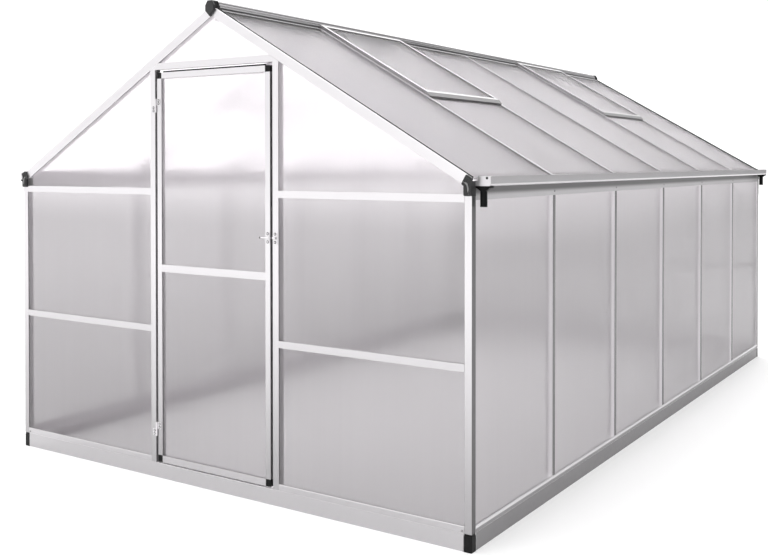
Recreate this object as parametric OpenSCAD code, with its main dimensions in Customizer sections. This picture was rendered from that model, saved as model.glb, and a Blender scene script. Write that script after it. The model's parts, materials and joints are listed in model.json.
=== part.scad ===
// Walk-in garden greenhouse: aluminium glazing bars, twin-wall panels, steel base frame, one hinged door.
// Millimetres. X runs across the gables, Y along the ridge away from the door, Z up from the ground.

/* [Building] */
// width over the two side walls
gable_width = 2500; // [2300:10:2700]
// length over the two gable frames
frame_length = 4190; // [3900:10:4500]
// height of the corner posts' top above the ground
post_top = 1265; // [1200:5:1320]
// slope of the roof in degrees
roof_slope = 29.7; // [28:0.1:31]
// height of the steel base rail
base_height = 66; // [56:1:76]

/* [Members] */
// face width of corner posts and door posts
post_face = 30; // [28:1:34]
// face height of the gable cross rails
rail_face = 29; // [26:1:32]
// height of the lower gable cross rail above the ground
mid_rail_height = 640; // [560:5:720]
// face height of the sloping gable rafters
rafter_face = 39; // [36:1:42]
// face height of the sill strip on the base
sill_face = 26; // [22:1:30]
// outer flange width of the glazing bars
bar_flange = 22; // [20:1:26]
// inward depth of the glazing bars
bar_depth = 34; // [30:1:40]
// thickness of the glazing panels
pane_thickness = 4; // [4:0.5:5]
// play left on each face of a panel in its groove
pane_play = 0.3; // [0.25:0.05:0.4]

/* [Gutter] */
// reach of the gutter outside the wall
gutter_width = 60; // [54:1:68]
// height of the gutter's outer face
gutter_height = 35; // [30:1:38]
// outside diameter of the outlet pipe
outlet_outside = 26; // [24:1:28]
// bore of the outlet pipe
outlet_bore = 21; // [18:1:21]
// length of the outlet pipe below its tray
outlet_length = 56; // [40:1:80]

/* [Door] */
// distance from the middle of the gable to a door post's middle
door_post_centre = 350; // [340:1:380]
// drop of the door head's underside below the rafters beside it
door_head_drop = 18; // [14:1:30]
// gap beside and above the door leaf
door_gap = 13; // [12:0.5:15]
// gap under the door leaf
door_foot_gap = 6; // [6:0.5:10]
// face width of the door's stiles
stile_face = 26; // [24:1:30]
// height of the door's middle rail above the ground
door_mid_height = 907; // [800:1:1000]
// diameter of the latch bolt
bolt_diameter = 7; // [6:0.5:8]

/* [Roof vents] */
// length of a roof vent down the slope
vent_length = 715; // [620:5:780]
// height of a roof vent's frame above the roof bars
vent_height = 15; // [12:1:18]

/* [Hidden] */
$fn = 48;
bay_count = 6;
vent_bays = [2, 5];
wall = 2;
web = 3;
grip = 8;
edge_play = 3;
bite = grip - edge_play;
slot = pane_thickness + 2 * pane_play;
seat = 2 * wall + slot;
edge_round = 2;
round_steps = 12;
half_w = gable_width / 2;
half_l = frame_length / 2;
pitch = frame_length / bay_count;
frame_depth = 30;
rail_depth = 20;
corner_in = half_w - post_face;

// base frame
base_flange = 30;
base_return = 9;
foot = 34;
foot_collar = 9;
foot_inset = 1.2;
foot_round = 4;
spigot_length = 45;
sill_top = base_height + sill_face;
sill_bevel = 4;

// bolt channel on the inner edge of a glazing bar
channel_width = 13;
channel_depth = 9;
channel_mouth = 6;

// roof lines: the outer roof face meets the wall face at roof_edge and the middle at apex
rise = 64;
roof_edge = post_top + rise;
apex = roof_edge + tan(roof_slope) * half_w;
function roof_z(x, n) = apex - tan(roof_slope) * abs(x) - n / cos(roof_slope);
function slope_at(x) = x / cos(roof_slope);

// roof panel's edge on a rafter, under the rafter's narrow top lip
rafter_lip = 10;
rafter_web = 3;
roof_edge_in = rafter_web + edge_play;

// ridge
ridge_half = 25;
ridge_slot = 32;
ridge_flange = 50;
crest_half = 12;
crest_rise = 20;
crest_steps = [[9, 20], [13, 14], [17, 8], [20, 2]];
cap_drop = 47;
ridge_drop = 60;
mitre_gap = 0.5;
ridge_web = 4;
ridge_bead = 8;

// eave rail, gutter and its ends
eave_lap = 15;
eave_bottom = post_top - eave_lap;
eave_slot_top = post_top - edge_play;
trough_rise = 35;
trough_floor = post_top + trough_rise;
trough_sheet = 2.5;
trough_round = 8;
lip_bead = 3;
seat_reach = 38;
seat_start = slope_at(half_w) - seat_reach;
seat_end = slope_at(half_w) - web;
seat_thick = 2.4;
bar_stop = seat_start - wall;
pane_over = 3;
pane_stop = slope_at(half_w) + pane_over;
tail_stop = slope_at(half_w);
cap_proud = 10;
cap_rib = 1.5;
cap_rib_width = 3;
cap_rib_inset = 8;
cap_round = 5;
cap_lap = 4;
rafter_over = 15;
rafter_stop = slope_at(corner_in) + rafter_over;
cap_play = 0.5;
cap_inner = roof_edge_in - cap_play;
cap_rise = 18;
cap_step = trough_floor + cap_rise;
end_plate = 2.5;
outlet_out = 26;
outlet_in = 40;
tray_height = 18;
tray_margin = 2;
tray_sheet = 5;

// gable and door heights
eave_rail_drop = 23;
eave_rail_z = post_top - eave_rail_drop;
door_post_in = door_post_centre - post_face / 2;
door_post_out = door_post_centre + post_face / 2;
door_head_underside = roof_z(door_post_in, rafter_face) - door_head_drop;
leaf_half = door_post_in - door_gap;
leaf_bottom = base_height + door_foot_gap;
leaf_top = door_head_underside - door_gap;
top_rail_face = 26;
bottom_rail_face = 30;
door_mid_face = 32;
block_recess = 1;
block_rim = 6;

// roof vents
vent_start = 24;
vent_side = 4;
vent_rail = 22;
vent_foot = 38;
vent_foot_edge = 5;
vent_sill_face = 26;
vent_stop = vent_start + vent_length;
vent_groove = vent_height - wall - slot;

// lift-off hinges
hinge_axis_x = -(door_post_in + leaf_half) / 2;
hinge_out = 3.5;
barrel_r = 4.5;
pin_r = 2.4;
pin_play = 0.08;
leaf_sheet = 2;
leaf_reach = 25;
leaf_round = 3;
hinge_half = 30;
hinge_split = 0.6;
hinge_inset = 143;
hinge_heights = [leaf_bottom + hinge_inset, leaf_top - hinge_inset];

// slide bolt
latch_rise = 173;
latch_z = door_mid_height + latch_rise;
latch_axis = 5.6;
latch_plate = 52;
latch_end = 7;
bolt_r = bolt_diameter / 2;
bolt_play = 0.08;
guide_r = bolt_r + bolt_play;
barrel_wall = 0.8;
guide_length = 20;
bolt_length = 58;
bolt_reach = 6;
knob_r = 4.3;
knob_length = 5;
keeper_edge = 4;
keeper_length = 16;

// copies a piece drawn at the front right to all four corners
module four_corners() {
    for (sx = [0, 1])
        for (sy = [0, 1])
            mirror([sx, 0, 0]) mirror([0, sy, 0]) children();
}

// copies a piece drawn on the right to both sides
module both_sides() {
    for (s = [0, 1])
        mirror([s, 0, 0]) children();
}

// draws a section (inward, up) along the front gable between two X values
module along_front(x0, x1, z) {
    translate([x0, -half_l, z]) rotate([90, 0, 90]) linear_extrude(x1 - x0) children();
}

// draws a section (inward, up) along the right wall, to the same limit each way
module along_right(limit, z) {
    translate([half_w, limit, z]) mirror([1, 0, 0]) rotate([90, 0, 0]) linear_extrude(2 * limit) children();
}

// draws an outline (X, Z) of the gable as a plate that starts at y and runs forward
module facing(y, thick) {
    translate([0, y, 0]) rotate([90, 0, 0]) linear_extrude(thick) children();
}

// right roof slope: X down the slope from the apex, Z outward, Y unchanged
module on_slope() {
    translate([0, 0, apex]) rotate([0, roof_slope, 0]) children();
}

// everything under a line parallel to the roof, as a prism through the front gable
module under_roof(n) {
    facing(half_l, 2 * frame_length)
        polygon([[-half_w, 0], [half_w, 0], [half_w, roof_z(half_w, n)], [0, roof_z(0, n)],
            [-half_w, roof_z(half_w, n)]]);
}

// rounds the convex corners of an outline
module softened(r) {
    offset(r = r, $fn = round_steps) offset(delta = -r) children();
}

// folded steel channel, open to the inside, with returned edges
module channel_section() {
    difference() {
        softened(edge_round) square([base_flange, base_height]);
        translate([wall, wall]) square([base_flange - 2 * wall, base_height - 2 * wall]);
        translate([base_flange - 2 * wall, base_return])
            square([3 * wall, base_height - 2 * base_return]);
    }
}

// strip that holds the panels' lower edges, its outer arm bevelled
module sill_section() {
    difference() {
        polygon([[0, 0], [seat, 0], [seat, sill_face], [wall, sill_face], [0, sill_face - sill_bevel]]);
        translate([wall, wall]) square([slot, sill_face]);
    }
}

// glazing bar: X inward from the outer face, Y across
module bar_section() {
    polygon([[0, wall - bar_flange / 2], [0, bar_flange / 2 - wall], [wall, bar_flange / 2],
        [wall, -bar_flange / 2]]);
    translate([wall + slot, -bar_flange / 2]) square([wall, bar_flange]);
    translate([0, -web / 2]) square([bar_depth - channel_depth + wall, web]);
    translate([bar_depth - channel_depth, -channel_width / 2]) difference() {
        square([channel_depth, channel_width]);
        translate([wall, wall]) square([channel_depth - 2 * wall, channel_width - 2 * wall]);
        translate([wall, (channel_width - channel_mouth) / 2]) square([channel_depth, channel_mouth]);
    }
}

// hollow post with a panel groove along each of its two outer faces
module corner_section() {
    difference() {
        softened(edge_round) square(post_face);
        translate([wall, post_face - grip]) square([slot, grip + wall]);
        translate([post_face - grip, wall]) square([grip + wall, slot]);
        translate([seat, seat]) square(post_face - seat - wall);
    }
}

// hollow post in the gable: X across, Y inward, a groove on either side
module gable_post_section() {
    difference() {
        translate([-post_face / 2, 0]) square([post_face, frame_depth]);
        for (s = [0, 1])
            mirror([s, 0]) translate([post_face / 2 - grip, wall]) square([grip + wall, slot]);
        translate([wall - post_face / 2, seat]) square([post_face - 2 * wall, frame_depth - seat - wall]);
    }
}

// cross rail: X inward, Y up, a groove above and, where wanted, below
module rail_section(face, lower_groove) {
    difference() {
        square([rail_depth, face]);
        translate([wall, face - grip]) square([slot, grip + wall]);
        if (lower_groove) translate([wall, -wall]) square([slot, grip + wall]);
        translate([seat, wall]) square([rail_depth - seat - wall, face - 2 * wall]);
    }
}

// rafter: X across its face from the roof face downwards, Y inward from the gable face; the roof panel
// lies on its ledge under a narrow lip
module rafter_section() {
    difference() {
        softened(edge_round) square([rafter_face, frame_depth]);
        translate([wall, rafter_web]) square([slot, frame_depth]);
        translate([-wall, rafter_lip]) square([2 * wall + slot, frame_depth]);
        translate([rafter_face - grip, wall]) square([grip + wall, slot]);
        translate([seat, seat]) square([rafter_face - seat - wall, frame_depth - seat - wall]);
    }
}

// eave rail: X inward from the wall face, Y height; groove for the wall panels and a riser to the roof
module eave_section() {
    difference() {
        translate([0, eave_bottom]) square([seat, trough_floor - eave_bottom]);
        translate([wall, eave_bottom - wall]) square([slot, eave_slot_top - eave_bottom + wall]);
        translate([wall, eave_slot_top + wall])
            square([seat - 2 * wall, trough_floor - eave_slot_top - 2 * wall]);
    }
    polygon([[0, trough_floor - wall], [web, trough_floor - wall], [web, roof_z(half_w - web, seat)],
        [0, roof_z(half_w, seat)]]);
}

// outline of the gutter's outside: X inward from the wall face, Y height
module trough_outline() {
    difference() {
        translate([-gutter_width, trough_floor]) softened(trough_round)
            square([gutter_width + trough_round, gutter_height + trough_round]);
        translate([0, trough_floor - wall]) square(2 * gutter_height);
        translate([-2 * gutter_width, trough_floor + gutter_height]) square(3 * gutter_width);
    }
}

// front of the gutter: a rounded foot, an upright face and a rolled lip along its top
module gutter_front_section() {
    difference() {
        trough_outline();
        offset(delta = -trough_sheet) trough_outline();
        translate([trough_round - gutter_width, trough_floor - wall])
            square([gutter_width, 2 * gutter_height]);
        translate([trough_sheet - gutter_width, trough_floor + gutter_height - trough_sheet])
            square(gutter_width);
    }
    translate([lip_bead - gutter_width, trough_floor + gutter_height - lip_bead])
        circle(r = lip_bead, $fn = round_steps);
}

// outline of the moulded eave corner seen from the gable: a leg on the post, an arm on the rafter
module elbow_outline() {
    softened(cap_round) {
        elbow_body();
        translate([0, apex]) rotate(-roof_slope) translate([rafter_stop - cap_lap, -rafter_face])
            square([post_face, rafter_face + wall]);
    }
}

// the eave corner's body behind its face: over the post, up to the roof line and clear of the rafter's end
module elbow_body() {
    difference() {
        polygon([[corner_in, post_top], [half_w, post_top], [half_w, roof_z(half_w, -wall)],
            [corner_in, roof_z(corner_in, -wall)]]);
        translate([0, apex]) rotate(-roof_slope) translate([0, -rafter_face])
            square([rafter_stop, 2 * rafter_face]);
    }
}

// outline of the ridge's moulded end, a shield
module shield_outline() {
    polygon([[-ridge_half, 0], [-crest_half, crest_rise], [crest_half, crest_rise], [ridge_half, 0],
        [ridge_half, ridge_half - cap_drop], [0, -cap_drop], [-ridge_half, ridge_half - cap_drop]]);
}

module base_end_rails() {
    color("#b9bbbe") for (s = [0, 1])
        mirror([0, s, 0]) along_front(foot - half_w, half_w - foot, 0) channel_section();
}

module base_side_rails() {
    color("#b9bbbe") both_sides() along_right(half_l - foot, 0) channel_section();
}

// moulded foot: hollow from below, a stepped collar, and a spigot up into the hollow post
module base_corner_caps() {
    color("#1d1d1f") four_corners() translate([half_w, -half_l, 0]) mirror([1, 0, 0]) {
        difference() {
            union() {
                linear_extrude(base_height - foot_collar) softened(foot_round) square(foot);
                linear_extrude(base_height) softened(foot_round)
                    translate([foot_inset, foot_inset]) square(foot - 2 * foot_inset);
            }
            translate([0, 0, -wall]) linear_extrude(base_height - wall) softened(edge_round)
                translate([2 * wall, 2 * wall]) square(foot - 4 * wall);
        }
        translate([seat + pane_play, seat + pane_play, base_height - wall])
            cube([post_face - seat - wall - 2 * pane_play, post_face - seat - wall - 2 * pane_play,
                spigot_length + wall]);
    }
}

module front_sills() {
    color("#e4e5e7") both_sides() along_front(door_post_out, corner_in, base_height) sill_section();
}

module rear_sills() {
    color("#e4e5e7") mirror([0, 1, 0]) {
        both_sides() along_front(door_post_out, corner_in, base_height) sill_section();
        along_front(-door_post_in, door_post_in, base_height) sill_section();
    }
}

module side_sills() {
    color("#e4e5e7") both_sides() along_right(half_l - post_face, base_height) sill_section();
}

module corner_posts() {
    color("#e4e5e7") four_corners() translate([half_w, -half_l, base_height]) mirror([1, 0, 0])
        linear_extrude(post_top - base_height) corner_section();
}

module right_wall_bars() {
    color("#9b9da0") for (i = [1:bay_count - 1])
        translate([half_w, i * pitch - half_l, sill_top]) mirror([1, 0, 0])
            linear_extrude(eave_bottom - sill_top) bar_section();
}

module left_wall_bars() {
    mirror([1, 0, 0]) right_wall_bars();
}

// eave rail with the sloping ledge on which the roof panels' lower ends lie
module right_eave_rail() {
    color("#a9abae") {
        along_right(half_l - post_face, 0) eave_section();
        on_slope() translate([seat_start, post_face - half_l, -wall - slot - seat_thick])
            cube([seat_end - seat_start, frame_length - 2 * post_face, seat_thick]);
    }
}

module left_eave_rail() {
    mirror([1, 0, 0]) right_eave_rail();
}

// flat strip from the eave rail to the gutter's front, bored over each outlet
module gutter_floors() {
    color("#c9cacc") both_sides() difference() {
        along_right(half_l - post_face, trough_floor) translate([trough_round - gutter_width, 0])
            square([gutter_width - trough_round, trough_sheet]);
        for (s = [-1, 1])
            translate([half_w + outlet_out, s * (half_l - outlet_in), trough_floor - wall])
                cylinder(h = trough_sheet + 2 * wall, d = outlet_bore - wall);
    }
}

module gutter_fronts() {
    color("#c9cacc") both_sides() along_right(half_l - post_face, 0) gutter_front_section();
}

// plate that closes each end of a gutter, cut back under the roof panels' lower edge
module gutter_ends() {
    color("#c9cacc") four_corners() facing(post_face - half_l, end_plate) difference() {
        translate([half_w, 0]) mirror([1, 0]) trough_outline();
        translate([0, cap_step]) square([half_w + 2 * pane_over + wall, gutter_height]);
    }
}

// outlet: a tray under the gutter's end that narrows like a funnel to a bored pipe
module gutter_outlets() {
    tray_out = gutter_width - outlet_out - tray_margin;
    tray_in = outlet_out - tray_margin;
    tray_half = outlet_outside / 2 + tray_margin;
    color("#1d1d1f") four_corners()
        translate([half_w + outlet_out, outlet_in - half_l, trough_floor]) difference() {
            union() {
                hull() {
                    translate([-tray_in, -tray_half, -tray_sheet])
                        cube([tray_in + tray_out, 2 * tray_half, tray_sheet]);
                    translate([0, 0, -tray_height]) cylinder(h = wall, d = outlet_outside, $fn = 32);
                }
                translate([0, 0, -tray_height - outlet_length])
                    cylinder(h = outlet_length + tray_height / 2, d = outlet_outside);
            }
            translate([0, 0, -tray_height - outlet_length - wall])
                cylinder(h = outlet_length + tray_height + 2 * wall, d = outlet_bore);
        }
}

// moulded elbow over post, rafter and gutter end, with a raised rib round its face
module eave_corner_caps() {
    color("#2b2b2d") four_corners() {
        facing(-half_l, cap_proud - cap_rib) elbow_outline();
        facing(cap_rib - cap_proud - half_l, cap_rib) difference() {
            offset(delta = -cap_rib_inset) elbow_outline();
            offset(delta = -cap_rib_inset - cap_rib_width) elbow_outline();
        }
        facing(cap_inner - half_l, cap_inner) elbow_body();
        facing(post_face - half_l, post_face) intersection() {
            elbow_body();
            translate([corner_in, post_top]) square([post_face, cap_step - post_top]);
        }
    }
}

// ridge: a grooved wing to each slope, a stepped crest and a web with a bead below
module ridge_bar() {
    run = frame_length - 2 * post_face;
    color("#c9cacc") {
        both_sides() on_slope() translate([0, post_face - half_l, -seat]) difference() {
            cube([ridge_flange, run, seat]);
            translate([ridge_slot, -wall, wall]) cube([ridge_flange, run + 2 * wall, slot]);
        }
        facing(half_l - post_face, run) translate([0, apex]) {
            for (step = crest_steps)
                translate([-step[0], -crest_half]) square([2 * step[0], crest_half + step[1] - wall]);
            translate([-ridge_web / 2, -ridge_drop]) square([ridge_web, ridge_drop]);
            translate([-ridge_bead, -ridge_drop]) square([2 * ridge_bead, wall]);
        }
    }
}

module ridge_end_caps() {
    plug_half = ridge_half - pane_play;
    color("#2b2b2d") for (s = [0, 1])
        mirror([0, s, 0]) {
            facing(-half_l, cap_proud - cap_rib) translate([0, apex]) shield_outline();
            facing(cap_rib - cap_proud - half_l, cap_rib)
                translate([0, apex]) offset(delta = -cap_rib_width) shield_outline();
            translate([-plug_half, -half_l, apex + ridge_half - cap_drop])
                cube([2 * plug_half, post_face, cap_drop - ridge_half - crest_half]);
            translate([-crest_half, -half_l, apex + ridge_half - cap_drop])
                cube([2 * crest_half, post_face, cap_drop - ridge_half + crest_rise]);
        }
}

// pair of rafters, mitred under the ridge and notched round its moulded end
module front_rafters() {
    color("#e4e5e7") both_sides() difference() {
        intersection() {
            on_slope() translate([0, -half_l, 0]) rotate([0, 90, 0])
                linear_extrude(rafter_stop) rafter_section();
            translate([mitre_gap / 2, -half_l - wall, 0]) cube([half_w, frame_depth + 2 * wall, 2 * apex]);
        }
        translate([-ridge_half, -half_l - wall, apex + ridge_half - cap_drop])
            cube([2 * ridge_half, frame_depth + 2 * wall, cap_drop]);
    }
}

module rear_rafters() {
    mirror([0, 1, 0]) front_rafters();
}

// roof bars: full section down to the eave ledge, then a tail that lies on it
module right_roof_bars() {
    color("#9b9da0") for (i = [1:bay_count - 1])
        on_slope() translate([ridge_flange, i * pitch - half_l, 0]) {
            rotate([0, 90, 0]) linear_extrude(bar_stop - ridge_flange) bar_section();
            translate([0, wall - bar_flange / 2, -wall])
                cube([tail_stop - ridge_flange, bar_flange - 2 * wall, wall]);
            translate([0, -web / 2, -wall - slot]) cube([seat_end - ridge_flange, web, wall + slot]);
        }
}

module left_roof_bars() {
    mirror([1, 0, 0]) right_roof_bars();
}

module door_posts() {
    color("#e4e5e7") both_sides() intersection() {
        translate([door_post_centre, -half_l, base_height]) linear_extrude(apex) gable_post_section();
        under_roof(rafter_face);
    }
}

module door_head() {
    color("#e4e5e7") intersection() {
        along_front(-door_post_in, door_post_in, door_head_underside) rail_section(rail_face, false);
        under_roof(rafter_face);
    }
}

module gable_rail_pair() {
    for (z = [mid_rail_height, eave_rail_z])
        both_sides() along_front(door_post_out, corner_in, z) rail_section(rail_face, true);
}

module front_gable_rails() {
    color("#e4e5e7") gable_rail_pair();
}

module rear_gable_posts() {
    mirror([0, 1, 0]) door_posts();
}

module rear_gable_rails() {
    color("#e4e5e7") mirror([0, 1, 0]) {
        gable_rail_pair();
        for (z = [mid_rail_height, eave_rail_z])
            along_front(-door_post_in, door_post_in, z) rail_section(rail_face, true);
    }
}

// lengthwise limits of the panel in bay i, edges held in bars or corner members
function bay_start(i) = (i == 1) ? post_face - bite - half_l : (i - 1) * pitch - half_l + web / 2 + edge_play;
function bay_end(i) = (i == bay_count) ? half_l - post_face + bite : i * pitch - half_l - web / 2 - edge_play;

// the same limits on the roof, where the end panels reach over the rafters
function roof_start(i) = (i == 1) ? roof_edge_in - half_l : bay_start(i);
function roof_end(i) = (i == bay_count) ? half_l - roof_edge_in : bay_end(i);

// panels of the right wall, one to a bay
module right_wall_panes() {
    pane_bottom = base_height + wall + edge_play;
    pane_top = eave_slot_top - edge_play;
    color("#dfe3e6", 0.55) for (i = [1:bay_count])
        translate([half_w - wall - pane_play - pane_thickness, bay_start(i), pane_bottom])
            cube([pane_thickness, bay_end(i) - bay_start(i), pane_top - pane_bottom]);
}

module left_wall_panes() {
    mirror([1, 0, 0]) right_wall_panes();
}

// panels of the right slope; the bays with a vent have a short panel below it
module right_roof_panes() {
    color("#dfe3e6", 0.55) for (i = [1:bay_count]) {
        vented = len(search(i, vent_bays)) > 0;
        top = vented ? vent_stop + vent_side - bite : ridge_slot + edge_play;
        on_slope() translate([top, roof_start(i), -wall - pane_play - pane_thickness])
            cube([pane_stop - top, roof_end(i) - roof_start(i), pane_thickness]);
    }
}

module left_roof_panes() {
    mirror([1, 0, 0]) right_roof_panes();
}

module gable_panel(x0, x1, z0, z1) {
    translate([x0, -half_l + wall + pane_play, z0]) cube([x1 - x0, pane_thickness, z1 - z0]);
}

// the three panels on one side of the gable: below, between and above the cross rails
module gable_side_panels() {
    low = base_height + wall + edge_play;
    gable_panel(door_post_out - bite, corner_in + bite, low, mid_rail_height + bite);
    gable_panel(door_post_out - bite, corner_in + bite, mid_rail_height + rail_face - bite,
        eave_rail_z + bite);
    intersection() {
        gable_panel(door_post_out - bite, corner_in - pane_play, eave_rail_z + rail_face - bite, apex);
        under_roof(rafter_face - bite);
    }
}

// the panel between the posts under the ridge
module gable_top_panel(z) {
    intersection() {
        gable_panel(-door_post_in - bite, door_post_in + bite, z - bite,
            apex + ridge_half - cap_drop - pane_play);
        under_roof(rafter_face - bite);
    }
}

module front_gable_panes() {
    color("#dfe3e6", 0.55) {
        both_sides() gable_side_panels();
        gable_top_panel(door_head_underside + rail_face);
    }
}

module rear_gable_panes() {
    low = base_height + wall + edge_play;
    color("#dfe3e6", 0.55) mirror([0, 1, 0]) {
        both_sides() gable_side_panels();
        gable_panel(-door_post_in - bite, door_post_in + bite, low, mid_rail_height + bite);
        gable_panel(-door_post_in - bite, door_post_in + bite, mid_rail_height + rail_face - bite,
            eave_rail_z + bite);
        gable_top_panel(eave_rail_z + rail_face);
    }
}

// places a roof vent's piece in each vented bay of both slopes, Y from the bay's first bar
module each_vent() {
    both_sides() for (i = vent_bays)
        on_slope() translate([0, (i - 1) * pitch - half_l, 0]) children();
}

// vent frame: grooved ring with a deep, sloping lower rail
module vent_frames() {
    across = pitch - 2 * vent_side;
    clear_length = vent_length - vent_rail - vent_foot;
    clear_width = across - 2 * vent_rail;
    color("#c9cacc") each_vent() translate([vent_start, vent_side, 0]) difference() {
        cube([vent_length, across, vent_height]);
        translate([vent_rail, vent_rail, -wall]) cube([clear_length, clear_width, vent_height + 2 * wall]);
        translate([vent_rail - grip, vent_rail - grip, vent_groove])
            cube([clear_length + 2 * grip, clear_width + 2 * grip, slot]);
        translate([0, across + wall, 0]) rotate([90, 0, 0]) linear_extrude(across + 2 * wall)
            polygon([[vent_length - vent_foot + 2 * grip, vent_height + wall],
                [vent_length - vent_foot + 2 * grip, vent_height],
                [vent_length + wall, vent_foot_edge], [vent_length + wall, vent_height + wall]]);
    }
}

module vent_panes() {
    inset = vent_rail - bite;
    pane_length = vent_length - vent_rail - vent_foot + 2 * bite;
    color("#dfe3e6", 0.55) each_vent()
        translate([vent_start + inset, vent_side + inset, vent_groove + pane_play])
            cube([pane_length, pitch - 2 * (vent_side + inset), pane_thickness]);
}

// cross bar under a vent's lower edge, grooved for the short panel below
module vent_sills() {
    color("#9b9da0") each_vent()
        translate([vent_stop + vent_side - vent_sill_face, bar_flange / 2, -seat]) difference() {
            cube([vent_sill_face, pitch - bar_flange, seat]);
            translate([vent_sill_face - grip, -wall, wall]) cube([grip + wall, pitch, slot]);
        }
}

// plate of a hinge leaf, rounded at its outer corners, from the axis outwards
module hinge_plate(height) {
    translate([0, hinge_out, 0]) rotate([90, 0, 0]) linear_extrude(leaf_sheet) difference() {
        softened(leaf_round) translate([-leaf_reach, 0]) square([2 * leaf_reach, height]);
        translate([0, -wall]) square([2 * leaf_reach, height + 2 * wall]);
    }
}

// fixed half of each lift-off hinge: plate, lower knuckle and the upright pin
module hinge_frame_leaves() {
    color("#a9abae") for (z = hinge_heights)
        translate([hinge_axis_x, -half_l - hinge_out, z]) {
            translate([0, 0, -hinge_half]) hinge_plate(hinge_half);
            translate([0, 0, -hinge_half]) cylinder(h = hinge_half, r = barrel_r);
            cylinder(h = hinge_half - hinge_split, r = pin_r);
        }
}

// moving half: plate on the stile and the upper knuckle that turns on the pin
module hinge_door_leaves() {
    color("#a9abae") for (z = hinge_heights)
        translate([hinge_axis_x, -half_l - hinge_out, z + hinge_split]) difference() {
            union() {
                mirror([1, 0, 0]) hinge_plate(hinge_half - hinge_split);
                cylinder(h = hinge_half - hinge_split, r = barrel_r);
            }
            translate([0, 0, -hinge_half]) cylinder(h = 3 * hinge_half, r = pin_r + pin_play);
        }
}

module door_stiles() {
    color("#e4e5e7") both_sides()
        translate([leaf_half, -half_l, leaf_bottom + bottom_rail_face]) mirror([1, 0, 0])
            linear_extrude(leaf_top - top_rail_face - leaf_bottom - bottom_rail_face) difference() {
                square([stile_face, rail_depth]);
                translate([stile_face - grip, wall]) square([grip + wall, slot]);
                translate([wall, seat]) square([stile_face - 2 * wall, rail_depth - seat - wall]);
            }
}

module door_rails() {
    rail_end = leaf_half - stile_face;
    color("#e4e5e7") {
        along_front(-rail_end, rail_end, leaf_bottom) rail_section(bottom_rail_face, false);
        along_front(-rail_end, rail_end, door_mid_height) rail_section(door_mid_face, true);
        along_front(-rail_end, rail_end, leaf_top) mirror([0, 1]) rail_section(top_rail_face, false);
    }
}

// moulded block that joins a stile to a rail, recessed in front and notched for the panel's corner;
// X from the leaf's edge inwards, Z from its top or bottom edge
module corner_block(height) {
    difference() {
        cube([stile_face, rail_depth, height]);
        translate([stile_face - grip, wall, height - grip]) cube([grip + wall, slot, grip + wall]);
        translate([block_rim, -wall, block_rim])
            cube([stile_face - 2 * block_rim, wall + block_recess, height - 2 * block_rim]);
    }
}

module door_corner_blocks() {
    color("#1d1d1f") both_sides() translate([leaf_half, -half_l, 0]) mirror([1, 0, 0]) {
        translate([0, 0, leaf_bottom]) corner_block(bottom_rail_face);
        translate([0, 0, leaf_top]) mirror([0, 0, 1]) corner_block(top_rail_face);
    }
}

module door_panes() {
    pane_half = leaf_half - stile_face + bite;
    color("#dfe3e6", 0.55) {
        gable_panel(-pane_half, pane_half, leaf_bottom + bottom_rail_face - bite, door_mid_height + bite);
        gable_panel(-pane_half, pane_half, door_mid_height + door_mid_face - bite,
            leaf_top - top_rail_face + bite);
    }
}

// plate with round ends and a bored barrel across it, drawn from its left edge
module bolt_holder(plate_width, length) {
    rotate([90, 0, 0]) linear_extrude(leaf_sheet) softened(latch_end)
        translate([0, -latch_plate / 2]) square([plate_width, latch_plate]);
    difference() {
        translate([0, -latch_axis, -guide_r - 2 * barrel_wall])
            cube([length, latch_axis, 2 * guide_r + 4 * barrel_wall]);
        translate([-length, -latch_axis, 0]) rotate([0, 90, 0]) cylinder(h = 3 * length, r = guide_r);
    }
    translate([0, -latch_axis, 0]) rotate([0, 90, 0]) difference() {
        cylinder(h = length, r = guide_r + barrel_wall);
        translate([0, 0, -length]) cylinder(h = 3 * length, r = guide_r);
    }
}

module latch_body() {
    color("#a9abae") translate([leaf_half - guide_length - wall, -half_l, latch_z])
        bolt_holder(guide_length, guide_length);
}

// sliding rod with its knob, drawn back so that the door can swing
module latch_bolt() {
    color("#d5d6d8")
        translate([leaf_half + bolt_reach - bolt_length, -half_l - latch_axis, latch_z]) rotate([0, 90, 0]) {
            cylinder(h = bolt_length, r = bolt_r);
            cylinder(h = knob_length, r = knob_r);
        }
}

module latch_keeper() {
    color("#a9abae") translate([door_post_in + keeper_edge, -half_l, latch_z])
        bolt_holder(guide_length, keeper_length);
}

base_end_rails();
base_side_rails();
base_corner_caps();
front_sills();
rear_sills();
side_sills();
corner_posts();
left_wall_bars();
right_wall_bars();
left_eave_rail();
right_eave_rail();
gutter_floors();
gutter_fronts();
gutter_ends();
gutter_outlets();
eave_corner_caps();
ridge_bar();
ridge_end_caps();
front_rafters();
rear_rafters();
left_roof_bars();
right_roof_bars();
door_posts();
door_head();
front_gable_rails();
rear_gable_posts();
rear_gable_rails();
left_wall_panes();
right_wall_panes();
left_roof_panes();
right_roof_panes();
front_gable_panes();
rear_gable_panes();
vent_frames();
vent_panes();
vent_sills();
hinge_frame_leaves();
latch_keeper();
door_stiles();
door_rails();
door_corner_blocks();
door_panes();
hinge_door_leaves();
latch_body();
latch_bolt();
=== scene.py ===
import json
import math

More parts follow.
